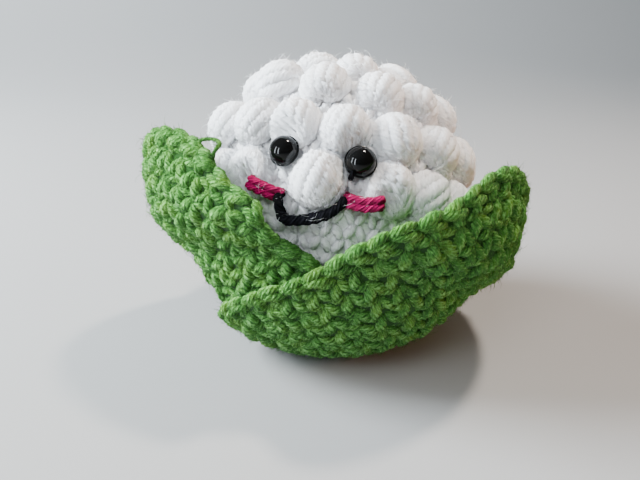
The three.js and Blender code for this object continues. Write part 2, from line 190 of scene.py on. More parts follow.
def degrees_from(vectors, axis):
    return np.degrees(np.arccos(np.clip(vectors @ axis, -1.0, 1.0)))


ball_axis = direction(*BALL_AXIS)
front = np.array([0.0, -1.0, 0.0])
ball_front = unit(front - (front @ ball_axis) * ball_axis)
ball_side = np.cross(ball_axis, ball_front)
chin = direction(*CHIN_PLACE)
left_sag = direction(*SAG_PLACE)
crown_bulge = direction(*CROWN_PLACE)

filling_low, filling_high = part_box("stuffing")
ball_middle = np.array([
    (filling_low[0] + filling_high[0]) / 2,
    (filling_low[1] + filling_high[1]) / 2,
    filling_high[2] - FILLING_RADIUS / 1000,
])


def on_ball(longitude, latitude):
    """Unit direction at a longitude and latitude of the ball, in degrees, for whole arrays."""
    lon, lat = np.radians(np.asarray(longitude, float)), np.radians(np.asarray(latitude, float))
    level = np.cos(lat)
    return ((level * np.cos(lon))[..., None] * ball_front
            + (level * np.sin(lon))[..., None] * ball_side
            + np.sin(lat)[..., None] * ball_axis)


# Meshes

def make_piece(name, points, quads, triangles, finish, strand_uv=None):
    """Smooth mesh object from points in millimetres, faces as point numbers, and corner UVs."""
    mesh = bpy.data.meshes.new(name)
    corners = np.concatenate([quads.reshape(-1), triangles.reshape(-1)]).astype(np.int32)
    starts = np.concatenate([
        np.arange(len(quads)) * 4,
        len(quads) * 4 + np.arange(len(triangles)) * 3,
    ]).astype(np.int32)
    row_points = points.reshape(-1, 3) / 1000 + ball_middle
    mesh.vertices.add(len(row_points))
    mesh.vertices.foreach_set("co", row_points.astype(np.float32).ravel())
    mesh.loops.add(len(corners))
    mesh.loops.foreach_set("vertex_index", corners)
    mesh.polygons.add(len(starts))
    mesh.polygons.foreach_set("loop_start", starts)
    if strand_uv is not None:
        layer = mesh.uv_layers.new(name="strand")
        layer.data.foreach_set("uv", strand_uv.astype(np.float32).ravel())
    mesh.update(calc_edges=True)
    mesh.polygons.foreach_set("use_smooth", np.full(len(starts), True))
    mesh.materials.append(finish)
    piece = bpy.data.objects.new(name, mesh)
    bpy.context.scene.collection.objects.link(piece)
    return piece


def weld(piece):
    """Joins points that lie on each other, so folded seams and poles are closed."""
    shape = bmesh.new()
    shape.from_mesh(piece.data)
    bmesh.ops.remove_doubles(shape, verts=shape.verts, dist=1e-6)
    bmesh.ops.dissolve_degenerate(shape, dist=1e-7, edges=shape.edges)
    bmesh.ops.recalc_face_normals(shape, faces=shape.faces)
    shape.to_mesh(piece.data)
    shape.free()
    return piece


def grid_quads(rows, columns, start=0):
    """Quads of a grid of points that closes round its columns."""
    row, column = np.meshgrid(np.arange(rows - 1), np.arange(columns), indexing="ij")
    after = (column + 1) % columns
    quads = np.stack([row * columns + column, (row + 1) * columns + column,
                      (row + 1) * columns + after, row * columns + after], axis=-1)
    return quads.reshape(-1, 4) + start


class Yarn:
    """A bundle of strands gathered before they are made into one piece.

    A strand is a tube along a path: at each step a ring of points at the strand's radius, turned
    a little further at every step so that the ring's three swellings run round it as its plies.
    """

    def __init__(self, seed):
        self.random = np.random.default_rng(seed)
        self.points, self.quads, self.triangles = [], [], []
        self.quad_uv, self.triangle_uv = [], []
        self.count = 0

    def lay(self, paths, radius, outward, sides=9, ply=PLY_DEPTH, turns=PLY_TURNS, uneven=0.045,
            shape=None):
        """Adds M strands of N steps: paths (M, N, 3), radius a number or (M, N), outward (M, N, 3).

        At the angle a of the ring, turned by its length along the path, a point is at
        cos(a) aside and sin(a) out, times the radius, 1 - ply + ply |cos(1.5 a)| and a small wobble.
        """
        strand_count, steps = paths.shape[:2]
        radius = np.broadcast_to(radius, (strand_count, steps))
        tangent = unit(np.gradient(paths, axis=1))
        side = unit(np.cross(tangent, outward))
        lift = np.cross(side, tangent)
        length = np.zeros((strand_count, steps))
        length[:, 1:] = np.cumsum(np.linalg.norm(np.diff(paths, axis=1), axis=-1), axis=1)
        ring = 2 * np.pi * np.arange(sides) / sides
        swelling = 1 - ply + ply * np.abs(np.cos(1.5 * ring))
        angle = ring + 2 * np.pi * turns * length[..., None]
        wobble = 1 + uneven * self.random.normal(size=(strand_count, steps, sides)).clip(-2, 2)
        reach = (radius[..., None] * swelling * wobble)[..., None]
        points = (paths[:, :, None, :]
                  + reach * np.cos(angle)[..., None] * side[:, :, None, :]
                  + reach * np.sin(angle)[..., None] * lift[:, :, None, :])
        ends = np.stack([paths[:, 0] - tangent[:, 0] * radius[:, :1] * 0.35,
                         paths[:, -1] + tangent[:, -1] * radius[:, -1:] * 0.35], axis=1)
        points = points.reshape(strand_count, steps * sides, 3)
        points = np.concatenate([points, ends], axis=1)
        if shape is not None:
            points = shape(points)
        per_strand = steps * sides + 2
        first = self.count + np.arange(strand_count)[:, None, None] * per_strand
        quads = grid_quads(steps, sides)[None] + first
        around = np.arange(sides)
        after = (around + 1) % sides
        start_pole, end_pole = per_strand - 2, per_strand - 1
        last_ring = (steps - 1) * sides
        start_cap = np.stack([np.full(sides, start_pole), around, after], axis=-1)
        end_cap = np.stack([np.full(sides, end_pole), last_ring + after, last_ring + around], axis=-1)
        caps = np.concatenate([start_cap, end_cap])[None] + first
        row, column = np.meshgrid(np.arange(steps - 1), around, indexing="ij")
        v0, v1 = column / sides, (column + 1) / sides
        u0, u1 = length[:, row], length[:, row + 1]
        quad_uv = np.stack([np.stack(np.broadcast_arrays(u, v), axis=-1)
                            for u, v in ((u0, v0), (u1, v0), (u1, v1), (u0, v1))], axis=-2)
        cap_u = np.concatenate([np.repeat(length[:, :1], sides, 1),
                                np.repeat(length[:, -1:], sides, 1)], axis=1)
        cap_v = np.broadcast_to(np.concatenate([around, around]) / sides, cap_u.shape)
        cap_uv = np.repeat(np.stack([cap_u, cap_v], axis=-1)[:, :, None, :], 3, axis=2)
        self.points.append(points.reshape(-1, 3))
        self.quads.append(quads.reshape(-1, 4))
        self.triangles.append(caps.reshape(-1, 3))
        self.quad_uv.append(quad_uv.reshape(-1, 2))
        self.triangle_uv.append(cap_uv.reshape(-1, 2))
        self.count += strand_count * per_strand

    def piece(self, name, finish):
        uv = np.concatenate(self.quad_uv + self.triangle_uv)
        return make_piece(name, np.concatenate(self.points), np.concatenate(self.quads),
                          np.concatenate(self.triangles), finish, uv)


def arc_height(steps):
    """Height along a lobe from 0 at its ends to 1 in its middle: the sine of half a turn."""
    return np.sin(np.pi * np.linspace(0, 1, steps))


def curve_through(knots, steps):
    """Catmull-Rom curve: between two knots runs the cubic whose slope at each knot is half the step
    between that knot's neighbours."""
    padded = np.vstack([2 * knots[0] - knots[1], knots, 2 * knots[-1] - knots[-2]])
    t = np.linspace(0, len(knots) - 1, steps)
    i = np.minimum(t.astype(int), len(knots) - 2)
    f = (t - i)[:, None]
    p0, p1, p2, p3 = padded[i], padded[i + 1], padded[i + 2], padded[i + 3]
    return 0.5 * (2 * p1 + (p2 - p0) * f + (2 * p0 - 5 * p1 + 4 * p2 - p3) * f ** 2
                  + (3 * p1 - p0 - 3 * p2 + p3) * f ** 3)


# Materials

class Value:
    """An output socket that takes arithmetic: each operator adds a Math node."""

    def __init__(self, recipe, socket):
        self.recipe = recipe
        self.socket = socket

    def _math(self, operation, first, second):
        return self.recipe.node("ShaderNodeMath", {"operation": operation}, {0: first, 1: second})

    def __add__(self, other):
        return self._math("ADD", self, other)

    __radd__ = __add__

    def __mul__(self, other):
        return self._math("MULTIPLY", self, other)

    __rmul__ = __mul__

    def __sub__(self, other):
        return self._math("SUBTRACT", self, other)

    def __rsub__(self, other):
        return self._math("SUBTRACT", other, self)


class Recipe:
    """A material while its nodes are put together."""

    def __init__(self, name):
        self.material = bpy.data.materials.new(name)
        self.material.use_nodes = True
        self.tree = self.material.node_tree
        self.shader = self.tree.nodes["Principled BSDF"]

    def feed(self, socket, value):
        if isinstance(value, Value):
            self.tree.links.new(value.socket, socket)
        else:
            socket.default_value = value

    def node(self, kind, settings=None, inputs=None, output=0):
        made = self.tree.nodes.new(kind)
        for key, value in (settings or {}).items():
            setattr(made, key, value)
        for key, value in (inputs or {}).items():
            self.feed(made.inputs[key], value)
        return Value(self, made.outputs[output])

    def rescale(self, value, low, high, new_low=0.0, new_high=1.0):
        inputs = {0: value, 1: low, 2: high, 3: new_low, 4: new_high}
        return self.node("ShaderNodeMapRange", {}, inputs)

    def mix(self, share, low, high):
        inputs = {"Factor": share, 6: low, 7: high}
        return self.node("ShaderNodeMix", {"data_type": "RGBA"}, inputs, output=2)

    def finish(self, **settings):
        for key, value in settings.items():
            socket = key.replace("_", " ").title().replace("Ior", "IOR")
            self.feed(self.shader.inputs[socket], value)
        return self.material


def shade(red, green, blue):
    return (red, green, blue, 1.0)


def yarn_finish(name, deep, body, glint, plies, sheen=0.1, sheen_tint=(1, 1, 1, 1), bump=1.0,
                groove_relief_and_shade=0.5, glow=0.0, gloss=0.2, patch=None):
    """Spun fibre: plies that run round the strand, fine streaks along them, and slow changes of tone.

    The strand's V goes once round it, so |cos(pi plies V)| is 0 in the grooves between the plies.
    Streaks, tufts and mottle spread the tone at random from deep, a painted shade colour, through body
    to glint, a painted highlight colour: part fibre tone and part painted light. The same ply term paints
    shade into the grooves between the plies and a lighter tone onto their crowns.
    Patch is a second body colour that the first one drifts to in places.
    """
    recipe = Recipe(name)
    strand = recipe.node("ShaderNodeUVMap", {"uv_map": "strand"})
    place = recipe.node("ShaderNodeTexCoord", output=3)
    streak_place = recipe.node("ShaderNodeMapping", {}, {"Vector": strand, "Scale": (0.8, 17.0, 1.0)})
    streaks = recipe.node("ShaderNodeTexNoise", {"noise_dimensions": "3D"},
                          {"Vector": streak_place, "Scale": 1.0, "Detail": 3.0, "Roughness": 0.65})
    mottle = recipe.node("ShaderNodeTexNoise", {}, {"Vector": place, "Scale": 160.0, "Detail": 2.0})
    tufts = recipe.node("ShaderNodeTexNoise", {},
                        {"Vector": place, "Scale": 1300.0, "Detail": 3.0, "Roughness": 0.7})
    around = recipe.node("ShaderNodeSeparateXYZ", {}, {"Vector": strand}, output=1)
    wander = (tufts - 0.5) * 1.6 + (streaks - 0.5) * 1.2
    wave = recipe.node("ShaderNodeMath", {"operation": "COSINE"},
                       {0: around * (math.pi * plies) + wander})
    ply = recipe.node("ShaderNodeMath", {"operation": "ABSOLUTE"}, {0: wave})
    # Painted shade and highlight: the ply term darkens the grooves between the plies and lightens their
    # crowns.
    tone_and_groove_shade = streaks * 0.50 + tufts * 0.35 + mottle * 0.15 + (ply - 0.64) * (0.14 * groove_relief_and_shade)
    if patch:
        body = recipe.mix(recipe.rescale(mottle, 0.48, 0.66), body, patch)
    low = recipe.mix(recipe.rescale(tone_and_groove_shade, 0.38, 0.50), deep, body)
    colour = recipe.mix(recipe.rescale(tone_and_groove_shade, 0.50, 0.62), low, glint)
    relief = streaks * 0.5 + tufts * 0.7 + ply * groove_relief_and_shade
    normal = recipe.node("ShaderNodeBump", {}, {"Strength": bump, "Distance": 0.0008, "Height": relief})
    return recipe.finish(base_color=colour, roughness=YARN_ROUGHNESS, normal=normal, sheen_weight=sheen,
                         sheen_roughness=0.4, sheen_tint=sheen_tint, specular_ior_level=gloss,
                         subsurface_weight=glow, subsurface_radius=(1.0, 1.0, 1.0), subsurface_scale=0.0015)


def gloss_finish(name, colour, roughness):
    """Polished moulded plastic with faint handling marks."""
    recipe = Recipe(name)
    place = recipe.node("ShaderNodeTexCoord", output=3)
    marks = recipe.node("ShaderNodeTexNoise", {}, {"Vector": place, "Scale": 900.0, "Detail": 4.0})
    wear = recipe.rescale(marks, 0.4, 0.75, roughness, roughness + 0.09)
    tint = recipe.mix(marks, colour, shade(*(1.6 * part for part in colour[:3])))
    normal = recipe.node("ShaderNodeBump", {}, {"Strength": 0.03, "Distance": 0.0001, "Height": marks})
    return recipe.finish(base_color=tint, roughness=wear, normal=normal, coat_weight=0.0,
                         specular_ior_level=0.2)


def plain_finish(name, low, high, scale, roughness):
    """Matt surface with a soft change of tone and a fine tooth."""
    recipe = Recipe(name)
    place = recipe.node("ShaderNodeTexCoord", output=3)
    tone = recipe.node("ShaderNodeTexNoise", {}, {"Vector": place, "Scale": scale, "Detail": 4.0})
    tooth = recipe.node("ShaderNodeTexNoise", {}, {"Vector": place, "Scale": scale * 12, "Detail": 3.0})
    normal = recipe.node("ShaderNodeBump", {}, {"Strength": 0.2, "Distance": 0.0002, "Height": tooth})
    return recipe.finish(base_color=recipe.mix(tone, low, high), roughness=roughness, normal=normal)


# Each yarn's colours run from deep, a painted shade tone, through body to glint, a painted highlight tone;
# the groove setting scales both the ply relief and the painted shade in the grooves.
white_yarn = yarn_finish("white_yarn", shade(0.80, 0.79, 0.80), shade(0.91, 0.91, 0.93),
                         shade(0.97, 0.97, 0.98), plies=9, sheen=0.15, bump=0.5, groove_relief_and_shade=0.28, glow=0.35)
green_yarn = yarn_finish("green_yarn", shade(0.018, 0.080, 0.012), shade(0.070, 0.240, 0.035),
                         shade(0.22, 0.52, 0.14), plies=6, groove_relief_and_shade=0.4, sheen_tint=shade(0.7, 0.95, 0.6),
                         patch=shade(0.095, 0.235, 0.022))
# Painted shade: a near-black green sheet behind the stitches that darkens the gaps between them.
painted_shade_backing = plain_finish("painted_shade_backing", shade(0.010, 0.045, 0.006), shade(0.022, 0.09, 0.012),
                             900.0, 0.95)
black_yarn = yarn_finish("black_yarn", shade(0.003, 0.003, 0.004), shade(0.006, 0.006, 0.008),
                         shade(0.012, 0.012, 0.015), plies=6, sheen=0.0, gloss=0.06)
cheek_yarn = yarn_finish("cheek_yarn", shade(0.20, 0.001, 0.035), shade(0.34, 0.002, 0.075),
                         shade(0.42, 0.004, 0.10), plies=6, sheen=0.0)
black_gloss = gloss_finish("black_gloss", shade(0.003, 0.003, 0.003), 0.04)
filling_fibre = plain_finish("filling_fibre", shade(0.75, 0.75, 0.75), shade(0.9, 0.9, 0.9), 200.0, 1.0)
washer_plastic = plain_finish("washer_plastic", shade(0.7, 0.7, 0.68), shade(0.8, 0.8, 0.78), 500.0, 0.5)
floor_paper = plain_finish("floor_paper", shade(0.315, 0.31, 0.305), shade(0.335, 0.33, 0.325),
                           3.0, 0.8)


def body_piece(piece, slot, *nodes):
    """Every piece rides on the toy's one body, with the CAD nodes that it stands for. Its slot is not used.
    """
    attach(piece, "root")
    if nodes:
        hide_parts(*nodes)
    return piece


# Camera, light and floor

def towards(x, y, z, distance):
    """Place at a distance from the ball's middle, in metres, in the direction given."""
    return Vector(ball_middle) + Vector((x, y, z)).normalized() * distance


def set_camera():
    """No roll: the aim is turned left and down until the ball's middle shows at its pixel."""
    elevation = math.radians(CAMERA_ELEVATION)
    right_share = (BALL_PIXEL[0] - PICTURE_WIDTH / 2) / FOCAL_PIXELS
    up_share = (PICTURE_HEIGHT / 2 - BALL_PIXEL[1]) / FOCAL_PIXELS
    depth = 1 / math.sqrt(1 + right_share ** 2 + up_share ** 2)
    yaw = math.asin(right_share * depth / math.cos(elevation))
    level = math.cos(elevation) * math.cos(yaw)
    pitch = math.atan2(math.sin(elevation), level) + math.asin(
        up_share * depth / math.hypot(level, math.sin(elevation)))
    heading = Vector((-math.sin(yaw), math.cos(yaw), 0))
    forward = heading * math.cos(pitch) - Vector((0, 0, math.sin(pitch)))
    right = Vector((math.cos(yaw), math.sin(yaw), 0))
    up = right.cross(forward)
    lens = bpy.data.cameras.new("camera")
    lens.sensor_width = SENSOR_WIDTH
    lens.lens = FOCAL_PIXELS / PICTURE_WIDTH * SENSOR_WIDTH
    lens.clip_start = 0.01
    camera = bpy.data.objects.new("camera", lens)
    place = towards(0, -math.cos(elevation), math.sin(elevation), CAMERA_DISTANCE / 1000)
    turn = Matrix((right, up, -forward)).transposed().to_4x4()
    camera.matrix_world = Matrix.Translation(place) @ turn
    bpy.context.scene.collection.objects.link(camera)
    bpy.context.scene.camera = camera


def add_light(name, place, size, power, colour, target=ball_middle, mirrored=True, shining=True,
              spread=180):
    """Rectangle of light that faces a point. Only a mirrored one shows in the eyes, and one that isn't
    shining shows there and nowhere else. Spread, in degrees, is how wide its beam is."""
    lamp = bpy.data.lights.new(name, "AREA")
    lamp.shape = "RECTANGLE"
    lamp.size, lamp.size_y = size
    lamp.energy = power
    lamp.color = colour
    lamp.spread = math.radians(spread)
    light = bpy.data.objects.new(name, lamp)
    light.location = place
    aim = Vector(target) - Vector(place)
    light.rotation_euler = aim.to_track_quat("-Z", "Y").to_euler()
    light.visible_glossy = mirrored
    light.visible_diffuse = shining
    bpy.context.scene.collection.objects.link(light)


def set_stage():
    """Paper sweep: flat floor that curves up into a backdrop behind the toy."""
    bend = np.linspace(0, np.pi / 2, 16)
    profile_y = np.concatenate([[STAGE_NEAR], STAGE_FAR + STAGE_BEND * np.sin(bend),
                                [STAGE_FAR + STAGE_BEND]])
    profile_z = np.concatenate([[0.0], STAGE_BEND * (1 - np.cos(bend)), [STAGE_RISE]])
    mesh = bpy.data.meshes.new("floor")
    points = [(x, y, z) for y, z in zip(profile_y, profile_z)
              for x in (-STAGE_HALF_WIDTH, STAGE_HALF_WIDTH)]
    faces = [(2 * i, 2 * i + 1, 2 * i + 3, 2 * i + 2) for i in range(len(profile_y) - 1)]
    mesh.from_pydata(points, [], faces)
    mesh.polygons.foreach_set("use_smooth", [True] * len(faces))
    mesh.materials.append(floor_paper)
    floor = bpy.data.objects.new("floor", mesh)
    bpy.context.scene.collection.objects.link(floor)

    add_light("lamp_above", towards(0.32, 0.19, 0.93, 0.6), (0.06, 0.06), 1.15, LAMPLIGHT, spread=90)
    add_light("pane_near", towards(-0.66, -0.72, 0.20, 0.62), (0.05, 0.50), 4.0, DAYLIGHT, shining=False)
    add_light("pane_far", towards(-0.93, -0.36, 0.20, 0.62), (0.05, 0.50), 4.0, DAYLIGHT, shining=False)
    add_light("window_left", towards(-0.92, -0.34, 0.20, 0.62), (0.30, 0.45), 3.0, DAYLIGHT,
              mirrored=False)
    add_light("sky_left", towards(-0.82, 0.02, 0.57, 0.60), (0.28, 0.28), 17.5, DAYLIGHT, mirrored=False)
    add_light("sky_front", towards(-0.20, -0.66, 0.71, 0.65), (0.30, 0.30), 2.2, PALE_DAYLIGHT,
              mirrored=False)
    add_light("backdrop_left", Vector((-1.1, 0.2, 0.7)), (0.5, 0.5), 18.0, DAYLIGHT, (-0.5, 1.0, 0.2),
              spread=100)
    add_light("warm_side", towards(0.97, -0.05, 0.15, 0.45), (0.10, 0.10), 0.9, GLOW, mirrored=False)

    world = bpy.data.worlds.new("soft_room")
    world.use_nodes = True
    background = world.node_tree.nodes["Background"]
    background.inputs["Color"].default_value = ROOM_COLOUR
    background.inputs["Strength"].default_value = ROOM_STRENGTH
    bpy.context.scene.world = world


# Leaves

def leaf_axes(leaf):
    middle = direction(*leaf["centre"])
    wanted = direction(*leaf["long_axis"])
    along = unit(wanted - (wanted @ middle) * middle)
    across = np.cross(middle, along)
    if across[2] < 0:
        across = -across
    return middle, along, across


def leaf_outline(leaf, angle):
    """Superellipse in degrees on the ball, with one low peak on the upper rim.

    At an angle a its reach r has |r cos a / half length|^n + |r sin a / half width|^n = 1, where n
    grows from the base to the tip. The peak is a bell curve along the leaf, times sin a.
    """
    cosine, sine = np.cos(angle), np.sin(angle)
    tip_share = smoothstep(cosine, -0.5, 0.5)
    exponent = LEAF_BASE_EXPONENT + (LEAF_TIP_EXPONENT - LEAF_BASE_EXPONENT) * tip_share
    half_width = np.where(sine >= 0, leaf["half_width_above"], LEAF_HALF_WIDTH_BELOW)
    reach = (np.abs(cosine / leaf["half_length"]) ** exponent
             + np.abs(sine / half_width) ** exponent) ** (-1 / exponent)
    length, width = reach * cosine, reach * sine
    peak_at, peak_height, peak_width = leaf["peak"]
    peak = peak_height * np.maximum(sine, 0) * np.exp(-((length - peak_at) / peak_width) ** 2 / 2)
    return length, width + peak


def leaf_direction(leaf, angle, share):
    """From the spine at share 0 to the rim at share 1, as a direction from the ball's middle.

    The two distances of the outline, times the share, are turns along the leaf and across it.
    """
    middle, along, across = leaf_axes(leaf)
    length, width = leaf_outline(leaf, angle)
    p = np.radians(LEAF_SPINE * np.cos(angle) * (1 - share) + length * share)
    q = np.radians(width * share)
    return ((np.cos(q) * np.cos(p))[..., None] * middle
            + (np.cos(q) * np.sin(p))[..., None] * along
            + np.sin(q)[..., None] * across)


def leaf_radius(leaf, outward):
    """The leaf's layer, and a smooth step out over the bobbles, with bell curves of the turn from a
    direction: in at the chin, out where it sags, and out at its tip."""
    middle, along, _ = leaf_axes(leaf)
    latitude = 90 - degrees_from(outward, ball_axis)
    over_bobbles = FLARE_HEIGHT * smoothstep(latitude, FLARE_FROM, FLARE_TO)
    at_chin = at_sag = 0.0
    if leaf["layer"] > 0:
        at_chin = CHIN_DEPTH * np.exp(-(degrees_from(outward, chin) / CHIN_SPREAD) ** 2 / 2)
        at_sag = SAG_HEIGHT * np.exp(-(degrees_from(outward, left_sag) / SAG_SPREAD) ** 2 / 2)
    tip = math.radians(leaf["half_length"])
    tip_direction = math.cos(tip) * middle + math.sin(tip) * along
    flare, spread = leaf["tip"]
    at_tip = flare * np.exp(-(degrees_from(outward, tip_direction) / spread) ** 2 / 2)
    return FIRST_LAYER_RADIUS + LAYER_PITCH * leaf["layer"] + over_bobbles - at_chin + at_sag + at_tip


def leaf_point(leaf, angle, share, depth):
    """Point of the leaf's cloth: depth is measured out from its inner face."""
    outward = leaf_direction(leaf, angle, share)
    return outward * (leaf_radius(leaf, outward) + depth)[..., None], outward


def flattened_leaf(leaf):
    """Keeps the leaf's points above the flat that it rests on."""
    floor = -(FIRST_LAYER_RADIUS + LAYER_PITCH * leaf["layer"] + LEAF_THICKNESS - BASE_SINK)

    def shape(points):
        points[..., 2] = np.maximum(points[..., 2], floor)
        return points
    return shape


def round_angles(leaf, share):
    """Turns a place round a ring, from 0 to 1 by length, into the outline's angle."""
    angles = np.linspace(0, 2 * np.pi, 721)
    ring, _ = leaf_point(leaf, angles, np.full_like(angles, share), np.zeros_like(angles))
    length = np.zeros(len(angles))
    length[1:] = np.cumsum(np.linalg.norm(np.diff(ring, axis=0), axis=-1))

    def angle_at(place):
        return np.interp(np.mod(place, 1.0) * length[-1], length, angles) + 2 * np.pi * np.floor(place)
    return angle_at, length[-1]


def lobes_on_leaf(yarn, leaf, round_number, start, end, depth, bulge, radius, random, taper=0.4,
                  steps=8, jitter=0.06, sides=9):
    """One lobe of yarn for each stitch of a round.

    start and end are (stitch widths along, share of the round's height up). The lobe runs between
    them in an arc that stands bulge proud of depth in its middle, and thins towards both ends.
    """
    angle_at, length = round_angles(leaf, min((round_number + 0.5) / LEAF_ROUNDS, 1.0))
    count = max(6, round(length / STITCH_WIDTH))
    t = np.linspace(0, 1, steps)
    stitch = np.arange(count)[:, None] + random.uniform(-jitter, jitter, (count, 1))
    stitch = stitch + STITCH_SHIFT * round_number
    along = stitch + start[0] + (end[0] - start[0]) * t + random.uniform(-jitter, jitter, (count, 1)) * t
    height = start[1] + (end[1] - start[1]) * t + random.uniform(-jitter, jitter, (count, 1))
    arc = arc_height(steps)
    stand = depth + (bulge + random.uniform(-0.3, 0.3, (count, 1))) * arc
    shares = np.clip((round_number + height) / LEAF_ROUNDS, 0.0, LEAF_SHARE_LIMIT)
    paths, outward = leaf_point(leaf, angle_at(along / count), shares, stand)
    thickness = radius * (1 - taper + taper * arc ** 0.6) * random.uniform(0.88, 1.1, (count, 1))
    yarn.lay(paths, thickness, outward, sides=sides, shape=flattened_leaf(leaf))


def leaf_cloth(leaf):
    """Thin closed cloth behind the stitches: out from the spine to the rim, round it and back."""
    # Its finish is painted shade: a dark green sheet that darkens the gaps between the stitches.
    angles = 2 * np.pi * np.arange(96) / 96
    shares = np.linspace(0, CLOTH_RIM, 16)
    rings = [(share, CLOTH_OUTER) for share in shares] + [(share, CLOTH_INNER) for share in shares[::-1]]
    points = np.stack([leaf_point(leaf, angles, share, np.full_like(angles, depth))[0]
                       for share, depth in rings])
    points = flattened_leaf(leaf)(points)
    cloth = make_piece(f"{leaf['name']}_cloth", points, grid_quads(len(rings), len(angles)),
                       np.zeros((0, 3), int), painted_shade_backing)
    return body_piece(weld(cloth), "green_yarn", leaf["name"])


def leaf_stitches(leaf, seed):
    """Outside, two fat legs, a loose top strand and a filling lobe for each stitch. Inside, two legs
    in the rounds that can be seen. Last, the chain of the rim."""
    random = np.random.default_rng(seed)
    top = LEAF_THICKNESS - YARN_RADIUS
    outer = Yarn(seed + 100)
    for number in range(LEAF_ROUNDS - 1):
        lobes_on_leaf(outer, leaf, number, (0.56, -0.02), (0.02, 0.86), top - 1.0, 1.0, 1.75, random,
                      jitter=0.14)
        lobes_on_leaf(outer, leaf, number, (0.50, -0.06), (0.98, 0.92), top - 1.2, 1.0, 1.68, random,
                      jitter=0.14)
        lobes_on_leaf(outer, leaf, number, (0.05, 0.92), (0.80, 1.08), top - 1.2, 0.7, 1.45, random,
                      jitter=0.14)
        lobes_on_leaf(outer, leaf, number, (0.10, 0.20), (0.60, 0.62), top - 1.5, 0.2, 1.45, random,
                      taper=0.2, steps=5, jitter=0.15, sides=7)
    body_piece(outer.piece(f"{leaf['name']}_stitches", green_yarn), "green_yarn")

    inner = Yarn(seed + 200)
    for number in range(LEAF_ROUNDS - 4, LEAF_ROUNDS - 1):
        for start, end in (((0.52, -0.02), (0.02, 0.95)), ((0.50, -0.02), (0.98, 0.95))):
            lobes_on_leaf(inner, leaf, number, start, end, 1.7, -0.5, 1.35, random, sides=7)
    body_piece(inner.piece(f"{leaf['name']}_inside", green_yarn), "green_yarn")

    rim = Yarn(seed + 300)
    last = LEAF_ROUNDS - 1
    lobes_on_leaf(rim, leaf, last, (0.55, -0.05), (0.30, 0.62), top - 1.1, 0.9, 1.5, random)
    lobes_on_leaf(rim, leaf, last, (-0.05, 0.36), (1.05, 0.74), top - 0.5, 0.75, 1.6, random, taper=0.5)
    lobes_on_leaf(rim, leaf, last, (-0.02, 0.98), (1.08, 0.74), 1.7, 0.5, 1.6, random, taper=0.5)
    lobes_on_leaf(rim, leaf, last, (-0.05, 0.36), (1.05, 0.74), 1.5, -0.4, 1.4, random, sides=7)
    lobes_on_leaf(rim, leaf, last, (0.52, -0.1), (0.20, 0.5), 1.6, -0.4, 1.35, random, sides=7)
    if leaf["name"] == "leaf_left":
        loose_loop(rim, leaf)
    body_piece(rim.piece(f"{leaf['name']}_rim", green_yarn), "green_yarn")
    return [outer, inner, rim]


def loose_loop(yarn, leaf):
    """Loose strand that leaves the rim, arches over it and goes back in."""
    angles, shares = curve_through(np.array(YARN_LOOP_PATH), 32).T
    depths = LEAF_THICKNESS * 0.45 + 0.6 * np.sin(np.linspace(-5, 5, 32))
    path, outward = leaf_point(leaf, np.radians(angles), shares, depths)
    yarn.lay(path[None], YARN_LOOP_RADIUS, outward[None], ply=0.25, turns=0.3)


# Head

def bobble_places():
    places = []
    for latitude, placed, (after, before, count) in BOBBLE_ROUNDS:
        run = after + (before - after) * np.arange(1, count + 1) / (count + 1)
        places += [(longitude, latitude) for longitude in [*placed, *run]]
    return np.array(places)


bobbles = bobble_places()
bobble_directions = on_ball(bobbles[:, 0], bobbles[:, 1])
eye_directions = {side: on_ball(*place) for side, place in EYE_PLACES.items()}


def smooth_path(places, steps):
    """Curve through (longitude, latitude, radius) points, as a path in millimetres."""
    return curve_through(np.array([on_ball(lon, lat) * radius for lon, lat, radius in places]), steps)


mouth_path = smooth_path(MOUTH_PATH, 80)
cheek_paths = {side: smooth_path(path, 30) for side, path in CHEEK_PATHS.items()}


def soft_lower(value, ceiling, softness=0.45):
    """The lower of two heights, rounded off where they meet, so that pressed yarn keeps some relief."""
    return -softness * np.logaddexp(-value / softness, -ceiling / softness)


def make_room(points):
    """Presses the white yarn down round each eye and under the mouth and the cheeks, and flat below.

    Each presses to a ceiling: its own seat, and from its edge on a slope that rises with distance.
    """
    flat = points.reshape(-1, 3).copy()
    for axis in eye_directions.values():
        height = flat @ axis
        distance = np.linalg.norm(flat - height[:, None] * axis, axis=-1)
        ceiling = EYE_SEAT - 0.1 + np.maximum(distance - EYE_RADIUS - 0.2, 0) * EYE_ROOM_SLOPE
        lowered = np.where(distance < EYE_ROOM, soft_lower(height, ceiling), height)
        flat += (np.minimum(lowered, height) - height)[:, None] * axis
    sewn = [(mouth_path, MOUTH_YARN_RADIUS), *((path, CHEEK_ROOM) for path in cheek_paths.values())]
    for path, radius in sewn:
        path = path[np.linalg.norm(path, axis=-1) > SEWN_ABOVE]
        near = np.linalg.norm(flat - path.mean(0), axis=-1) < SEWN_ROOM
        chosen = flat[near]
        reach = np.linalg.norm(chosen, axis=-1)
        way = chosen / reach[:, None]
        path_reach = np.linalg.norm(path, axis=-1)
        aside = np.linalg.norm(way[:, None] - unit(path)[None], axis=-1) * SEWN_RADIUS
        closest = aside.argmin(1)
        distance = aside[np.arange(len(chosen)), closest]
        slope = np.maximum(distance - radius, 0) * SEWN_ROOM_SLOPE
        ceiling = path_reach[closest] - radius * 0.5 + slope
        flat[near] = way * np.minimum(soft_lower(reach, ceiling), reach)[:, None]
    flat[:, 2] = np.maximum(flat[:, 2], BASE_SINK - BALL_RADIUS)
    return flat.reshape(points.shape)


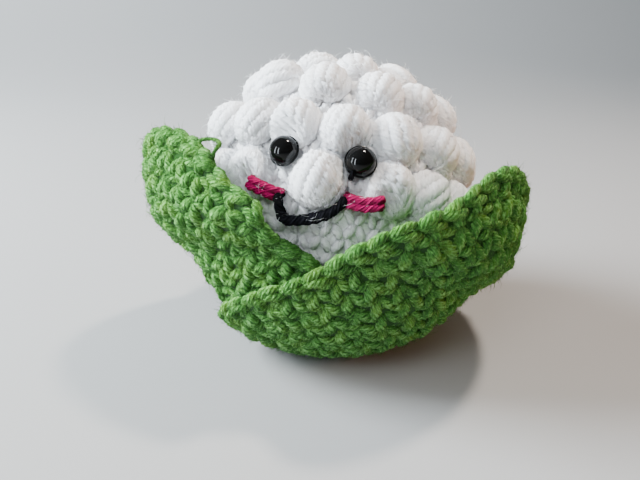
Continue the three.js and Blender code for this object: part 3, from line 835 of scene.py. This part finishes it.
def head_ball():
    """Stuffed ball that the stitches lie on: a sphere, cut flat underneath."""
    rows, columns = INNER_BALL_ROWS, INNER_BALL_COLUMNS
    latitudes = np.linspace(-90, 90, rows)
    longitudes = 360 * np.arange(columns) / columns
    grid = on_ball(longitudes[None, :], latitudes[:, None]) * (BALL_RADIUS - INNER_BALL_DEPTH)
    grid[..., 2] = np.maximum(grid[..., 2], -(BALL_RADIUS - BASE_SINK - 0.4))
    ball = make_piece("head_ball", grid, grid_quads(rows, columns), np.zeros((0, 3), int), white_yarn,
                      np.zeros(((rows - 1) * columns * 4, 2)))
    body_piece(weld(ball), "white_yarn", "head_skin")


def head_bobbles():
    """Each bobble is a bundle of fat strands that bow out between two gathered ends.

    The strands are like lines of longitude on an oval whose poles are the bobble's lower and
    upper ends: at t from 0 to 1 a strand is at -cos(pi t) up, and sin(pi t)^0.75 out, turned by
    its own angle. A bell curve of the turn from the crown's bulge lifts the whole bobble.
    """
    random = np.random.default_rng(11)
    yarn = Yarn(111)
    count, strands, steps = len(bobbles), BOBBLE_STRANDS, BOBBLE_STEPS
    outward = bobble_directions[:, None, None, :]
    level = unit(np.cross(ball_axis, bobble_directions))
    upright = np.cross(bobble_directions, level)
    lean = random.uniform(-0.75, 0.35, (count, 1))
    east = (np.cos(lean) * level + np.sin(lean) * upright)[:, None, None, :]
    north = (np.cos(lean) * upright - np.sin(lean) * level)[:, None, None, :]
    t = np.linspace(0.02, 0.98, steps)[None, None, :]
    fan = np.linspace(-BOBBLE_FAN, BOBBLE_FAN, strands)[None, :, None]
    turn = fan + random.uniform(-0.06, 0.06, (count, strands, 1))
    turn = turn + random.uniform(0.2, 0.7, (count, 1, 1)) * (t - 0.5)
    plump = random.uniform(0.97, 1.04, (count, 1, 1))
    plump[NOSE_NUMBER] = NOSE_PLUMPNESS
    swell = np.sin(np.pi * t) ** 0.75
    up = -np.cos(np.pi * t) * BOBBLE_HALF_LENGTH * plump
    out = swell * np.cos(turn) * BOBBLE_HALF_WIDTH * plump
    aside = swell * np.sin(turn) * BOBBLE_HALF_WIDTH * plump
    bulge = CROWN_HEIGHT * np.exp(-(degrees_from(bobble_directions, crown_bulge) / CROWN_SPREAD) ** 2 / 2)
    centre = BOBBLE_TOP - BOBBLE_HALF_WIDTH - BOBBLE_STRAND_REACH + bulge[:, None, None]
    paths = (centre + out)[..., None] * outward + aside[..., None] * east + up[..., None] * north
    away = unit(out[..., None] * outward + aside[..., None] * east + 0.5 * up[..., None] * north)
    uneven = random.uniform(0.93, 1.07, (count, strands, 1))
    radius = BOBBLE_STRAND_RADIUS * (0.66 + 0.34 * swell) * uneven
    yarn.lay(paths.reshape(-1, steps, 3), radius.reshape(-1, steps), away.reshape(-1, steps, 3),
             ply=0.05, sides=12, uneven=0.02, shape=make_room)
    body_piece(yarn.piece("head_bobbles", white_yarn), "white_yarn")
    return yarn


def head_stitches():
    """Plain rounds between and below the bobbles: two legs to a stitch, that part from its foot.

    A stitch whose middle lies under a bobble is left out.
    """
    random = np.random.default_rng(12)
    yarn = Yarn(112)
    for number, step in enumerate(range(FIRST_ROUND, LAST_ROUND + 1)):
        latitude = ROUND_ZERO_LATITUDE + ROUND_STEP * step
        girth = 2 * np.pi * BALL_RADIUS * math.cos(math.radians(latitude))
        stitches = max(6, round(girth / PLAIN_STITCH_WIDTH))
        middle = (np.arange(stitches) + 0.5 + 0.4 * number) * 360 / stitches
        centres = on_ball(middle, np.full(stitches, latitude))
        to_bobble = (centres @ bobble_directions.T).max(axis=1)
        keep = np.degrees(np.arccos(np.clip(to_bobble, -1, 1))) > PLAIN_STITCH_CLEARANCE
        middle = middle[keep][:, None]
        t = np.linspace(0, 1, PLAIN_STITCH_STEPS)
        arc = arc_height(PLAIN_STITCH_STEPS)
        for lean in (-1, 1):
            along = middle + lean * (0.02 + 0.46 * t) * 360 / stitches
            up = latitude + ROUND_STEP * (-0.62 + 1.2 * t) + random.uniform(-0.4, 0.4, middle.shape)
            outward = on_ball(along, np.broadcast_to(up, along.shape))
            uneven = random.uniform(-0.12, 0.12, middle.shape)
            reach = BALL_RADIUS - PLAIN_STITCH_DEPTH + PLAIN_STITCH_RISE * arc + uneven
            yarn.lay(outward * reach[..., None], PLAIN_STITCH_RADIUS * (0.7 + 0.3 * arc ** 0.6), outward,
                     sides=PLAIN_STITCH_SIDES, shape=make_room)
    body_piece(yarn.piece("head_stitches", white_yarn), "white_yarn")
    return yarn


# Face

def eye(side):
    """Profile of radii and heights, turned about the eye's axis: shank, flat back, thin rim, and a dome
    that is a quarter of an oval."""
    axis = eye_directions[side]
    across = unit(np.cross(axis, ball_axis))
    other = np.cross(axis, across)
    dome = np.linspace(0, np.pi / 2, 18)
    radii = [0.0, EYE_SHANK_RADIUS, EYE_SHANK_RADIUS, EYE_RADIUS - 0.1, EYE_RADIUS, EYE_RADIUS,
             EYE_RADIUS - 0.08, EYE_RADIUS - 0.22]
    heights = [EYE_SHANK_END, EYE_SHANK_END, EYE_SEAT, EYE_SEAT, EYE_SEAT + 0.08,
               EYE_SEAT + EYE_RIM - 0.1, EYE_SEAT + EYE_RIM, EYE_SEAT + EYE_RIM]
    radii = np.concatenate([radii, (EYE_RADIUS - 0.3) * np.cos(dome)])
    heights = np.concatenate([heights, EYE_SEAT + EYE_RIM + (EYE_DOME - EYE_RIM) * np.sin(dome)])
    turn = 2 * np.pi * np.arange(EYE_SIDES) / EYE_SIDES
    rim = np.cos(turn)[:, None] * across + np.sin(turn)[:, None] * other
    points = radii[:, None, None] * rim[None] + heights[:, None, None] * axis
    piece = make_piece(f"eye_{side}_button", points, grid_quads(len(radii), EYE_SIDES),
                       np.zeros((0, 3), int), black_gloss)
    body_piece(weld(piece), "eye_plastic", f"eye_{side}")


def mouth():
    """One strand, thickest in its middle, and the cut end of its yarn under the right eye."""
    yarn = Yarn(113)
    steps = mouth_path.shape[0]
    share = np.linspace(0, 1, steps)
    swell = 0.86 + 0.34 * np.sin(np.pi * share) - 0.1 * share + 0.05 * np.sin(23 * share)
    radius = MOUTH_YARN_RADIUS * swell
    yarn.lay(mouth_path[None], radius[None], unit(mouth_path)[None], sides=14, ply=0.2, turns=0.14)
    end = smooth_path(BLACK_END_PATH, 12)
    yarn.lay(end[None], BLACK_END_RADIUS, unit(end)[None], ply=0.2, turns=0.2)
    body_piece(yarn.piece("mouth_yarn", black_yarn), "black_yarn", "mouth")
    return yarn


def cheek(side):
    """Two strands side by side along one path."""
    yarn = Yarn(114)
    path = cheek_paths[side]
    along = unit(path[-1] - path[0])
    across = unit(np.cross(path, along))
    for offset in (-CHEEK_STRAND_OFFSET, CHEEK_STRAND_OFFSET):
        strand = (path + across * offset)[None]
        yarn.lay(strand, CHEEK_YARN_RADIUS, unit(strand), sides=12, ply=0.2, turns=0.16)
    body_piece(yarn.piece(f"cheek_{side}_yarn", cheek_yarn), "cheek_yarn", f"cheek_{side}")
    return yarn


# Loose fibres

def fuzz(name, yarns, finish, slot, count, seed, joints, length, lift, thickness):
    """Fine hairs that leave the yarn and bend back over it: three-sided and tapering to a point.

    At t from 0 to 1 a hair of size s has gone s t along the yarn's surface, s b t^2 aside, and
    s l (1.7 t - t^2) out, where b and l are its own bend and lift.
    """
    random = np.random.default_rng(seed)
    points = np.concatenate([points for yarn in yarns for points in yarn.points])
    roots = points[random.integers(0, len(points), count)]
    outward = unit(roots)
    spread = random.normal(size=(count, 3))
    flat = unit(spread - (spread * outward).sum(-1, keepdims=True) * outward)
    aside = np.cross(outward, flat)
    bend = aside * random.uniform(-0.5, 0.5, (count, 1))
    size = random.uniform(*length, (count, 1, 1))
    rise = random.uniform(*lift, (count, 1, 1))
    t = np.linspace(0, 1, joints + 1)[None, :, None]
    run = flat[:, None] * t + bend[:, None] * t ** 2 + outward[:, None] * rise * (1.7 * t - t ** 2)
    path = roots[:, None] + size * run
    corner = 2 * np.pi * np.arange(3) / 3
    ring = np.cos(corner)[:, None] * outward[:, None] + np.sin(corner)[:, None] * aside[:, None]
    ring = ring * thickness
    rings = path[:, :-1, None] + ring[:, None] * (1 - 0.6 * t[:, :-1, :, None])
    hair = np.concatenate([rings.reshape(count, joints * 3, 3), path[:, -1:]], axis=1)
    hair[..., 2] = np.maximum(hair[..., 2], -1000 * ball_middle[2])
    first = np.arange(count)[:, None, None] * (joints * 3 + 1)
    last = (joints - 1) * 3
    quads = grid_quads(joints, 3)[:, ::-1][None] + first
    ends = np.array([(2, 1, 0), *((last + k, last + (k + 1) % 3, last + 3) for k in range(3))])
    ends = ends[None] + first
    uv = np.broadcast_to((0.5, 0.1), (count * (len(quads[0]) * 4 + 4 * 3), 2))
    piece = make_piece(name, hair, quads.reshape(-1, 4), ends.reshape(-1, 3), finish, uv)
    body_piece(piece, slot)


def fuzz_over(name, yarns, finish, slot, long_count, short_count, seed):
    """Long loose fibres, and the short down that softens the yarn's edges."""
    fuzz(f"{name}_fibres", yarns, finish, slot, long_count, seed, **LONG_FIBRE)
    fuzz(f"{name}_down", yarns, finish, slot, short_count, seed + 1, **DOWN)


set_camera()
set_stage()
for node, finish in (("stuffing", filling_fibre), *((f"eye_washer_{side}", washer_plastic)
                                                    for side in EYE_PLACES)):
    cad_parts[node].data.materials.clear()
    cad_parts[node].data.materials.append(finish)

head_ball()
white_strands = [head_bobbles(), head_stitches()]
for side in EYE_PLACES:
    eye(side)
face_strands = [mouth(), *(cheek(side) for side in EYE_PLACES)]
fuzz("face_lint", face_strands, white_yarn, "white_yarn", FACE_LINT, 20, **LINT)
fuzz_over("head", white_strands, white_yarn, "white_yarn", HEAD_FIBRES, HEAD_DOWN, 21)

for seed, leaf in enumerate(LEAVES):
    leaf_cloth(leaf)
    strands = leaf_stitches(leaf, 30 + seed)
    fuzz_over(leaf["name"], strands, green_yarn, "green_yarn", LEAF_FIBRES, LEAF_DOWN, 40 + 2 * seed)
